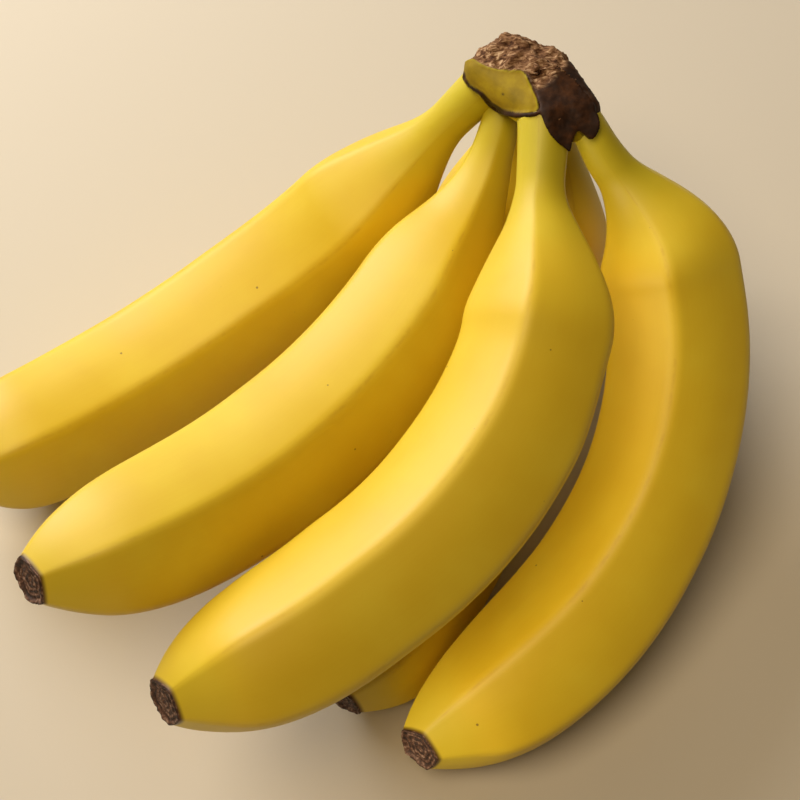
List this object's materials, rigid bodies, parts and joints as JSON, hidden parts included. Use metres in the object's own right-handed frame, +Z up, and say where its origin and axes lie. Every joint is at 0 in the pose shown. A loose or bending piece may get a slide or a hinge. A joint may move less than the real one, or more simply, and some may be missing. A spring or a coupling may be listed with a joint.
{
  "type": "bunch of bananas",
  "caption": "Hand of curved ripe fingers fanned out from one corky crown, lying on its bellies with the crown raised.",
  "frame": {"origin": "centre of the bounding box at the table: the plane that the lowest bellies rest on", "axes": "+Z up from the table; +X to the right and +Y away for someone who looks down on the bunch with its crown at the far side; the free tips point towards -X and -Y"},
  "size_m": [0.212, 0.1738, 0.1035],
  "materials": {
    "banana_skin": "satin ripe banana peel, greenish at the neck, brown scar at the blossom end",
    "crown_cork": "dry dark-brown cork with fibres on the cut, and one patch of yellow-green skin"
  },
  "bodies": {
    "root": {"crown": "crown_cork", "banana_1": "banana_skin", "banana_2": "banana_skin", "banana_3": "banana_skin", "banana_4": "banana_skin", "banana_5": "banana_skin", "banana_6": "banana_skin"}
  },
  "joints": []
}
